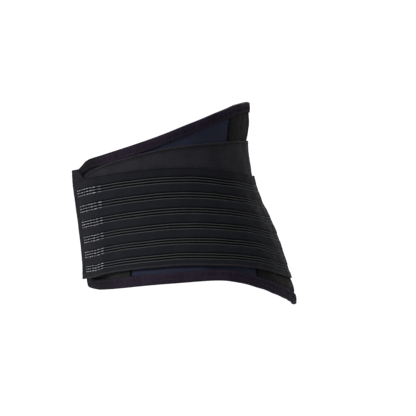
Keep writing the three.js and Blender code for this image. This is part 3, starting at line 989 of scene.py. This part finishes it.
def tab_edges(reach, own_heading):
    """The low and top edges of a tab, with its cut corners."""
    def tip_cut(heading):
        from_tip = own_heading(heading) + reach
        return TAB_TIP_CUT * np.maximum(0, 1 - from_tip / TAB_TIP_TURN)

    def low(heading):
        return band_low(heading) + TAB_ABOVE_LOW_EDGE + tip_cut(heading)

    def top(heading):
        past_corner = (own_heading(heading) - TAB_CORNER) / (TAB_BACK - TAB_CORNER)
        back_cut = TAB_BACK_CUT * np.maximum(0, past_corner)
        return band_top(heading) + TAB_ABOVE_BAND - tip_cut(heading) - back_cut

    return low, top


def tab_lift(heading):
    """The left tab climbs onto the right one at the front centre."""
    climb_end = RIGHT_TAB_REACH + STEP_CLEARANCE
    low_part = smoothstep(heading, climb_end, climb_end + TAB_CLIMB)
    return ON_TAB + (ON_SUPPORT - ON_TAB) * low_part


def level_lift(heading):
    return np.full(np.shape(heading), ON_SUPPORT)


TABS = {  # start, end, edges and lift
    "front_tab_left": (-LEFT_TAB_REACH, TAB_BACK,
                       tab_edges(LEFT_TAB_REACH, lambda heading: heading), tab_lift),
    "front_tab_right": (mirrored(TAB_BACK), 360 + RIGHT_TAB_REACH,
                        tab_edges(RIGHT_TAB_REACH, mirrored), level_lift),
}


def front_tab(name, start, end, edges, lift):
    degree = float(metres_a_degree(start))

    def outside(column, share):
        row_inset = np.minimum(share, 1 - share) * TAB_TALL
        inset = np.minimum(row_inset, np.minimum(column - start, end - column) * degree)
        dip = np.exp(-(((inset - TAB_SEAM_INSET) / TAB_SEAM_HALF) ** 2))
        return lift(column) + TAB_THICKNESS - TAB_SEAM_DIP * dip

    piece = cloth_piece(name, start, end, *edges, lambda column, share: lift(column), outside,
                        TAB_RIM, rows=hem_rows(TAB_TALL, TAB_HEM), step=TAB_COLUMN_STEP)
    keep(piece, name, tab_fabric, (degree * (end - start), TAB_TALL))


for name, tab in TABS.items():
    front_tab(name, *tab)

# %% [markdown]
# The outer band is the piece that pulls the belt tight: one wide elastic with six groups of
# three raised cords between flat strips. Each group lies in a sunken track, painted near black
# as the shade between the cords. The band's rows are close where a track's wall rises and wide
# on the flat strips. Where it climbs onto a tab, the whole pattern steps up a little. Its low
# edge's woven border has a painted highlight, and its top border a painted shade where it lies
# on the support elastic.

# %% Outer band
BAND_END = 32
BAND_STEP = 6
RIB_COUNT = 6
LOW_RIB_MARGIN = 9.4 * MM
TOP_RIB_MARGIN = 12.6 * MM
RIB_PITCH = (BAND_HEIGHT - LOW_RIB_MARGIN - TOP_RIB_MARGIN) / (RIB_COUNT - 1)
RIB_MIDDLES = [LOW_RIB_MARGIN + rib * RIB_PITCH for rib in range(RIB_COUNT)]
TRACK_UP = 4.3 * MM  # how far a track reaches above its middle cord, and below it
TRACK_DOWN = 3.2 * MM
TRACK_WALL = 0.7 * MM
TRACK_DEPTH = 0.75 * MM
STRIP_PILLOW = 0.2 * MM
LOW_HIGHLIGHT_EDGE = (1.5 * MM, 2.1 * MM)  # where the painted highlight on the low edge's woven border ends
# Where the painted shade on the top edge's border ends:
TOP_SHADE_EDGE = (0.8 * MM, 1.5 * MM)
FLAT_TURN = (110.0, 152.0)  # over these headings the stretched band flattens
FLATTEST = 0.3
PATTERN_SAG = 1.25 * MM  # how far the middle cords lie below even rows
BACK_SAG = 0.6 * MM  # how much more they sag on the back
PATTERN_STEP = 0.5 * MM
PATTERN_STEP_LOW = 43.0  # the heading where the pattern steps at the band's low edge
PATTERN_STEP_TOP = 50.5
PATTERN_STEP_TURN = 2.5
STEP_TOP = TAB_BACK + STEP_CLEARANCE
STEP_FOOT = STEP_TOP + BAND_STEP
LOW_ROWS = (1.5, 2.1, 3.5)  # rows this many millimetres from the low edge
TOP_ROWS = (1.0, 1.5, 2.4, 4.5)
WALL_ROWS = (-2.4, -0.9, -0.4, 0, 0.4, 0.9, 1.7)  # and outwards from each track's wall
BAND_RIM = 0.8 * MM
BAND_COLUMN_STEP = 2.0 * MM
BAND_LINES = (1.3, 0.2)  # pitch and waver
BAND_UPRIGHTS = (1.7, 0.8)


def band_inside(column, share=None):
    return ON_TAB + (ON_SUPPORT - ON_TAB) * smoothstep(from_front(column), STEP_TOP, STEP_FOOT)


def sag(share, column=0.0):
    """How far the pattern lies below even rows, as a share of the band's height."""
    depth = PATTERN_SAG + BACK_SAG * towards_back(column)
    return depth / BAND_HEIGHT * np.sin(np.pi * share)


def pattern_drop(column, share):
    """The sag of the pattern, less its step up on a tab."""
    step = PATTERN_STEP_LOW + (PATTERN_STEP_TOP - PATTERN_STEP_LOW) * share
    on_tab = 1 - smoothstep(from_front(column), step, step + PATTERN_STEP_TURN)
    return sag(share, column) - PATTERN_STEP / BAND_HEIGHT * on_tab


def above_track(column, share):
    """How far a place is above the middle of the nearest track."""
    place = (share + pattern_drop(column, share)) * BAND_HEIGHT
    nearest = np.clip(np.round((place - LOW_RIB_MARGIN) / RIB_PITCH), 0, RIB_COUNT - 1)
    return place - LOW_RIB_MARGIN - nearest * RIB_PITCH


def relief(column):
    """How much relief the pattern has, from 1 at the front to its least at the spine."""
    return 1 - (1 - FLATTEST) * smoothstep(from_front(column), *FLAT_TURN)


def in_track(column, share):
    above, wall = above_track(column, share), TRACK_WALL / 2
    risen = smoothstep(above, -TRACK_DOWN - wall, -TRACK_DOWN + wall)
    return risen * (1 - smoothstep(above, TRACK_UP - wall, TRACK_UP + wall)) * relief(column)


def band_outside(column, share):
    above = above_track(column, share)
    beyond = np.maximum(above - TRACK_UP, -TRACK_DOWN - above)
    strip = np.clip(beyond * 2 / (RIB_PITCH - TRACK_UP - TRACK_DOWN), 0, 1)
    pillow = STRIP_PILLOW * relief(column) * np.sqrt(1 - (1 - strip) ** 2)
    return band_inside(column) + BAND_THICKNESS + pillow - TRACK_DEPTH * in_track(column, share)


def low_edge_highlight(column, share):
    """1 on the narrow woven border of the low edge, which gets a painted highlight."""
    return 1 - smoothstep(share * BAND_HEIGHT, *LOW_HIGHLIGHT_EDGE)


def top_edge_shade(column, share):
    """1 on the border of the top edge, which gets a painted shade where it lies on the elastic."""
    return 1 - smoothstep((1 - share) * BAND_HEIGHT, *TOP_SHADE_EDGE)


def band_rows():
    """Rows close together at the walls of the tracks and at the two borders."""
    places = [away * MM for away in LOW_ROWS] + [BAND_HEIGHT - away * MM for away in TOP_ROWS]
    places += RIB_MIDDLES + [(a + b) / 2 for a, b in zip(RIB_MIDDLES, RIB_MIDDLES[1:])]
    places += [middle + side * (reach + away * MM) for middle in RIB_MIDDLES
               for side, reach in ((-1, TRACK_DOWN), (1, TRACK_UP)) for away in WALL_ROWS]
    shares = np.array(sorted(places)) / BAND_HEIGHT
    return shares - sag(shares)


# The marks paint the sunken tracks near black, a painted shade between the cords, a painted
# highlight on the low edge's border and a painted shade on the top edge's border.
ribbed_elastic = cloth_material(
    "blue-black woven elastic webbing", lambda tree: crossed(tree, BAND_UPRIGHTS, BAND_LINES, 0.5),
    ("#1a1b22", "#1e1f25"), "#0d0d11", 0.22,
    marks=[("track", "#010102"), ("low_edge_highlight", "#2b2b30"), ("top_edge_shade", "#0c0c0e")])

band = cloth_piece(
    "outer_band", BAND_END, mirrored(BAND_END), band_low, band_top, band_inside, band_outside,
    BAND_RIM, rows=band_rows(), step=BAND_COLUMN_STEP,
    notes={"track": in_track, "low_edge_highlight": low_edge_highlight, "top_edge_shade": top_edge_shade})
band_length = float(metres_a_degree(90.0)) * (mirrored(BAND_END) - BAND_END)
keep(band, "outer_band", ribbed_elastic, (BAND_HEIGHT, band_length))

# %% [markdown]
# Cords and stitches repeat along lines on the cloth, so Geometry Nodes make them. A line is
# a row of points, each with a note of the way out of the cloth there. One tree turns lines
# into round cords. The other sets a stitch at even steps along them, lying in the line's
# direction, and notes a random shade on each. The result is kept as one plain mesh.

# %% Lines on the cloth and what runs along them
def cloth_line(columns, heights, offsets):
    """A line of points on a cloth face with the ways out of it."""
    headings = leaned(columns, heights)
    return cloth_point(headings, heights, offsets), outwards(headings, heights)


def line_carrier(lines):
    """An object of bare lines for a tree to work on."""
    points, ways = (np.concatenate([line[part] for line in lines]) for part in (0, 1))
    edges, first = [], 0
    for line, _ in lines:
        edges += [(i, i + 1) for i in range(first, first + len(line) - 1)]
        first += len(line)
    mesh = bpy.data.meshes.new("lines")
    mesh.from_pydata(points.tolist(), edges, [])
    note = mesh.attributes.new("outwards", "FLOAT_VECTOR", "POINT")
    note.data.foreach_set("vector", ways.astype(np.float32).ravel())
    return placed("lines", mesh)


def new_tree(name, sizes):
    """A tree with a path, named sizes and a material as its inputs."""
    tree = bpy.data.node_groups.new(name, "GeometryNodeTree")
    kinds = {"Path": "Geometry", **{size: "Float" for size in sizes}, "Seed": "Int",
             "Material": "Material"}
    for socket, kind in kinds.items():
        tree.interface.new_socket(socket, in_out="INPUT", socket_type="NodeSocket" + kind)
    tree.interface.new_socket("Made", in_out="OUTPUT", socket_type="NodeSocketGeometry")
    return tree, add(tree, "NodeGroupInput").outputs


def end_tree(tree, made, given):
    """Every tree ends in real faces with smooth shading and a material."""
    real = add(tree, "GeometryNodeRealizeInstances", {"Geometry": made})
    smooth = add(tree, "GeometryNodeSetShadeSmooth", {"Geometry": real.outputs["Geometry"]})
    done = add(tree, "GeometryNodeSetMaterial",
               {"Geometry": smooth.outputs["Geometry"], "Material": given["Material"]})
    add(tree, "NodeGroupOutput", {"Made": done.outputs["Geometry"]})
    return tree


def cord_tree():
    tree, given = new_tree("round_cord", ("Radius", "Sides"))
    line = add(tree, "GeometryNodeMeshToCurve", {"Mesh": given["Path"]})
    run = add(tree, "GeometryNodeSplineParameter")
    measured = add(tree, "GeometryNodeStoreNamedAttribute",
                   {"Geometry": line.outputs["Curve"], "Name": "run",
                    "Value": run.outputs["Length"]})
    ring = add(tree, "GeometryNodeCurvePrimitiveCircle",
               {"Radius": given["Radius"], "Resolution": given["Sides"]})
    made = add(tree, "GeometryNodeCurveToMesh",
               {"Curve": measured.outputs["Geometry"], "Profile Curve": ring.outputs["Curve"],
                "Fill Caps": True})
    return end_tree(tree, made.outputs["Mesh"], given)


def stitch_tree():
    tree, given = new_tree("row_of_stitches", ("Pitch", "Length", "Width", "Height"))
    line = add(tree, "GeometryNodeMeshToCurve", {"Mesh": given["Path"]})
    even = add(tree, "GeometryNodeResampleCurve",
               {"Curve": line.outputs["Curve"], "Length": given["Pitch"]}, mode="LENGTH")
    grain = add(tree, "GeometryNodeMeshUVSphere", {"Segments": 6, "Rings": 5, "Radius": 0.5})
    size = add(tree, "ShaderNodeCombineXYZ",
               {"X": given["Length"], "Y": given["Width"], "Z": given["Height"]})
    out = add(tree, "GeometryNodeInputNamedAttribute", {"Name": "outwards"},
              data_type="FLOAT_VECTOR")
    way = add(tree, "GeometryNodeInputTangent")
    lie = add(tree, "FunctionNodeAxesToRotation",
              {"Primary Axis": way.outputs["Tangent"], "Secondary Axis": out.outputs["Attribute"]},
              primary_axis="X", secondary_axis="Z")
    stitches = add(tree, "GeometryNodeInstanceOnPoints",
                   {"Points": even.outputs["Curve"], "Instance": grain.outputs["Mesh"],
                    "Rotation": lie.outputs["Rotation"], "Scale": size.outputs["Vector"]})
    chance = add(tree, "FunctionNodeRandomValue", {"Seed": given["Seed"]}, data_type="FLOAT")
    shaded = add(tree, "GeometryNodeStoreNamedAttribute",
                 {"Geometry": stitches.outputs["Instances"], "Name": "shade",
                  "Value": chance.outputs[1]}, domain="INSTANCE")
    return end_tree(tree, shaded.outputs["Geometry"], given)


def grown(name, lines, tree, sizes, material):
    """What a tree makes along lines, as one plain mesh that rides on the belt."""
    carrier = line_carrier(lines)
    modifier = carrier.modifiers.new("grow", "NODES")
    modifier.node_group = tree
    inputs = {item.name: item.identifier for item in tree.interface.items_tree
              if item.in_out == "INPUT"}
    for size, value in {**sizes, "Material": material}.items():
        modifier[inputs[size]] = value
    depsgraph = bpy.context.evaluated_depsgraph_get()
    mesh = bpy.data.meshes.new_from_object(
        carrier.evaluated_get(depsgraph), preserve_all_data_layers=True, depsgraph=depsgraph)
    mesh.name = name
    bpy.data.objects.remove(carrier)
    piece = placed(name, mesh)
    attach(piece, "root")
    print(f"{name}: {triangles(mesh)} triangles")


round_cord, row_of_stitches = cord_tree(), stitch_tree()

# %% [markdown]
# Three cords lie in each track, each a rubber core gimped with yarn, so that fine slanting
# turns of yarn run along it. They are a lighter grey than the band, as their round tops catch
# the light, and are painted paler towards the front and darker towards the back, as the light
# falls; the gaps between the turns are a painted shade. On the tabs they are sewn down with
# rows of pale stitches.

# %% Cords of the band
CORD_RADIUS = 0.5 * MM
CORD_SIDES = 8
CORD_GAP = 2.7 * MM
CORD_LIFT = -0.35 * MM
CORD_SINK = 0.3 * MM  # how much deeper the cords lie where the band is quite flat
CORD_STEP = 2.0 * MM
CORD_INSET = 0.3
# The cords are painted paler towards the front, where the light falls, and darker towards the
# back, in painted shade.
PAINTED_LIGHT_FRONT = -70 * MM  # painted light: the cords are palest from here forwards
PAINTED_SHADE_BACK = 115 * MM
YARN_TURN_PITCH = 2.4
YARN_BUMP = 0.12 * MM


def gimped_yarn(tree):
    """Yarn turns along the cord, from the note of how far along it a place is."""
    run = add(tree, "ShaderNodeAttribute", attribute_name="run").outputs["Fac"]
    along = add(tree, "ShaderNodeMath", {0: run, 1: MM}, operation="DIVIDE").outputs["Value"]
    millimetres = add(tree, "ShaderNodeCombineXYZ", {"X": along}).outputs["Vector"]
    turns = add(tree, "ShaderNodeTexWave", even_waves(millimetres, YARN_TURN_PITCH, 0.4),
                bands_direction="X").outputs["Fac"]
    place = add(tree, "ShaderNodeTexCoord").outputs["Object"]
    back = add(tree, "ShaderNodeSeparateXYZ", {"Vector": place}).outputs["Y"]
    # Painted light and shade: paler at the front, darker at the back, and darker in the gaps
    # between the yarn's turns.
    tints = [(add(tree, "ShaderNodeMapRange", share).outputs["Result"], tint) for share, tint in (
        (stretched(back, PAINTED_LIGHT_FRONT, 0), "#464849"), (stretched(back, 0, PAINTED_SHADE_BACK), "#3a3c3d"),
        (stretched(turns, 0, 1, 0.35, 0), "#1b1c1d"))]
    bump = add(tree, "ShaderNodeBump", {"Height": turns, "Distance": YARN_BUMP})
    return {"Base Color": tinted(tree, linear("#46484d"), tints), "Roughness": 0.7,
            "Specular IOR Level": 0.2, "Normal": bump.outputs["Normal"]}


def band_line(start, end, place, lift, step=CORD_STEP):
    """A line round the band at a place up from its low edge, where the pattern is even."""
    columns = np.linspace(start, end, round((end - start) * float(metres_a_degree(90.0)) / step))
    share = place / BAND_HEIGHT
    share = share - pattern_drop(columns, share)
    heights = height_between(band_low, band_top, columns, share)
    sunk = CORD_SINK * (1 - relief(columns))
    return cloth_line(columns, heights, band_inside(columns) + BAND_THICKNESS + lift - sunk)


CORD_PLACES = [middle + cord * CORD_GAP for middle in RIB_MIDDLES for cord in (-1, 0, 1)]
CORD_ENDS = (BAND_END + CORD_INSET, mirrored(BAND_END) - CORD_INSET)

grown("band_cords", [band_line(*CORD_ENDS, place, CORD_LIFT) for place in CORD_PLACES],
      round_cord, {"Radius": CORD_RADIUS, "Sides": CORD_SIDES},
      painted("grey gimped rubber cord", gimped_yarn))

# %% [markdown]
# Stitches hold every layer. On the band's ends they are pale, long and lie on the cords. The
# binding has a dark cover stitch of two rows with a third row between them. The hems of the
# support elastic, the stay channels and the tabs have running stitches, which show as fine
# broken lines. The panels butt at flat seams under dense black cross stitches. A thread is
# smooth spun polyester, so it is one shade with a faint shine, a little different in each
# stitch.

# %% Threads and sewing
STITCHES = {  # pitch, length, width and height in millimetres, and the seed for the shades
    "band_end_stitches": (7.2, 6.7, 0.75, 0.5, 3),
    "binding_stitches": (3.0, 2.3, 0.6, 0.4, 5),
    "support_hem_stitches": (2.6, 2.2, 0.6, 0.35, 7),
    "channel_stitches": (2.8, 2.1, 0.55, 0.35, 11),
    "panel_seams": (0.8, 0.7, 2.0, 0.5, 17),
    "tab_stitches": (3.2, 2.5, 0.6, 0.4, 13),
}


def thread_material(name, dark, pale, note="shade", high=1.0, roughness=0.6, shine=0.25):
    """A yarn between two shades by a note on the mesh."""
    def finish(tree):
        value = add(tree, "ShaderNodeAttribute", attribute_name=note).outputs["Fac"]
        share = add(tree, "ShaderNodeMapRange", stretched(value, 0, high)).outputs["Result"]
        return {"Base Color": tinted(tree, linear(dark), [(share, pale)]),
                "Roughness": roughness, "Specular IOR Level": shine}

    return painted(name, finish)


def sewn(name, lines, thread):
    *sizes, seed = STITCHES[name]
    inputs = dict(zip(("Pitch", "Length", "Width", "Height"), (size * MM for size in sizes)))
    grown(name, lines, row_of_stitches, {**inputs, "Seed": seed}, thread)


pale_thread = thread_material("pale grey polyester thread", "#77797f", "#b9bbc2", roughness=0.5)
violet_thread = thread_material("violet-black polyester thread", "#201a24", "#322b36")
dark_thread = thread_material("dark grey polyester thread", "#26272b", "#3c3d42")
hem_thread = thread_material("grey polyester thread", "#27272c", "#3a3a40")
black_thread = thread_material(
    "black polyester thread", "#020203", "#060608", roughness=1.0, shine=0.03)
looper_thread = thread_material(
    "violet polyester looper thread", "#201a24", "#302934", note="run", high=2.0)
print(len(STITCHES), "kinds of stitching")

# %% Stitches of the band's ends and the binding
SEWN_PAST_LOW = 52.5  # the heading to which the band's end is sewn at its low edge
SEWN_PAST_TOP = 58.0
COVER_ROWS = (2.4 * MM, 7.2 * MM)  # inwards from the panels' edge
LOOPER_ROW = 4.8 * MM
LOOPER_SWING = 2.2 * MM
LOOPER_PITCH = 1.9 * MM
LOOPER_THREAD = {"Radius": 0.24 * MM, "Sides": 5}
BAND_END_STEP = 1.2 * MM
STITCH_LIFT = 0.1 * MM

band_end_lines = []
for place in CORD_PLACES:
    past = SEWN_PAST_LOW + (SEWN_PAST_TOP - SEWN_PAST_LOW) * place / BAND_HEIGHT
    band_end_lines += [
        band_line(start, end, place, CORD_LIFT + CORD_RADIUS, BAND_END_STEP)
        for start, end in ((CORD_ENDS[0], past), (mirrored(past), CORD_ENDS[1]))]
sewn("band_end_stitches", band_end_lines, pale_thread)


def outline_line(inwards):
    """A line round the binding at a distance inwards from the panels' edge."""
    places = on_outline(outline, np.full((1, 1), inwards), BINDING_OUTSIDE + STITCH_LIFT)
    heading, height, offset = (array[:, 0] for array in places)
    points, ways = cloth_point(heading, height, offset), outwards(heading, height)
    return np.concatenate([points, points[:1]]), np.concatenate([ways, ways[:1]])


def zigzag_line(inwards, swing, pitch):
    """A line that swings to and fro across the binding."""
    far, near = outline_line(inwards + swing), outline_line(inwards - swing)
    run = running_length(far[0])
    turns = np.arange(0, run[-1], pitch)

    def at(grid):
        return np.stack([np.interp(turns, run, grid[:, axis]) for axis in range(3)], 1)

    odd = (np.arange(len(turns)) % 2)[:, None]
    return at(far[0]) * odd + at(near[0]) * (1 - odd), at(far[1])


sewn("binding_stitches", [outline_line(inwards) for inwards in COVER_ROWS], violet_thread)
grown("binding_zigzag", [zigzag_line(LOOPER_ROW, LOOPER_SWING, LOOPER_PITCH)], round_cord,
      LOOPER_THREAD, looper_thread)

# %% Stitches of the hems, channels, seams and tabs
HEM_ROW = 0.7 * MM
LEVEL_STEP = 0.6
TAB_LINE_STEP = 0.5
UPRIGHT_STEP = 1 * MM


def hem_line(hem, shift):
    columns = np.arange(SUPPORT_END + 1, mirrored(SUPPORT_END) - 1, LEVEL_STEP)
    offset = ON_PANEL + SUPPORT_THICKNESS + HEM_RISE
    return cloth_line(columns, edge_height(hem, columns) + shift, np.full(len(columns), offset))


sewn("support_hem_stitches", [hem_line(support_top, -HEM_ROW), hem_line(support_low, HEM_ROW)],
     hem_thread)


def bare_lines(column, outside):
    """Upright lines up a column of a panel, where no elastic covers it."""
    top, low, support_from, support_to = (float(edge_height(line, column)) for line in (
        panel_top, panel_low, support_low, support_top))
    lines = []
    for first, last in ((support_to, top - BINDING_FLAP), (low + BINDING_FLAP, support_from)):
        heights = np.arange(first + UPRIGHT_STEP, last - UPRIGHT_STEP / 2, UPRIGHT_STEP)
        if len(heights) > 2:
            offset = outside(np.full(len(heights), column), (heights - low) / (top - low))
            lines.append(cloth_line(np.full(len(heights), column), heights,
                                    offset + STITCH_LIFT / 2))
    return lines


sewn("channel_stitches",
     [line for start in CHANNEL_STARTS for inset in (0.3, CHANNEL_WIDTH / CHANNEL_SLOPE - 0.3)
      for line in bare_lines(start + CHANNEL_SLOPE * inset, back_outside)],
     dark_thread)
sewn("panel_seams",
     [line for seam in (FRONT_SEAM, BACK_SEAM, mirrored(BACK_SEAM), mirrored(FRONT_SEAM))
      for line in bare_lines(seam, panel_outside)],
     black_thread)


def tab_border(start, end, edges, lift):
    """The sewn line just inside a tab's border."""
    low, top = edges
    inset = TAB_SEAM_INSET / float(metres_a_degree(start))
    columns = np.arange(start + inset, end - inset, TAB_LINE_STEP)

    def upright(column):
        heights = np.arange(low(column) + TAB_SEAM_INSET, top(column) - TAB_SEAM_INSET,
                            UPRIGHT_STEP)
        return np.full(len(heights), column), heights

    up, down = upright(columns[-1]), upright(columns[0])
    path_columns = np.concatenate([columns, up[0], columns[::-1], down[0]])
    path_heights = np.concatenate([low(columns) + TAB_SEAM_INSET, up[1],
                                   (top(columns) - TAB_SEAM_INSET)[::-1], down[1][::-1]])
    over = TAB_THICKNESS - TAB_SEAM_DIP + STITCH_LIFT
    return cloth_line(path_columns, path_heights, lift(path_columns) + over)


sewn("tab_stitches", [tab_border(*tab) for tab in TABS.values()], dark_thread)
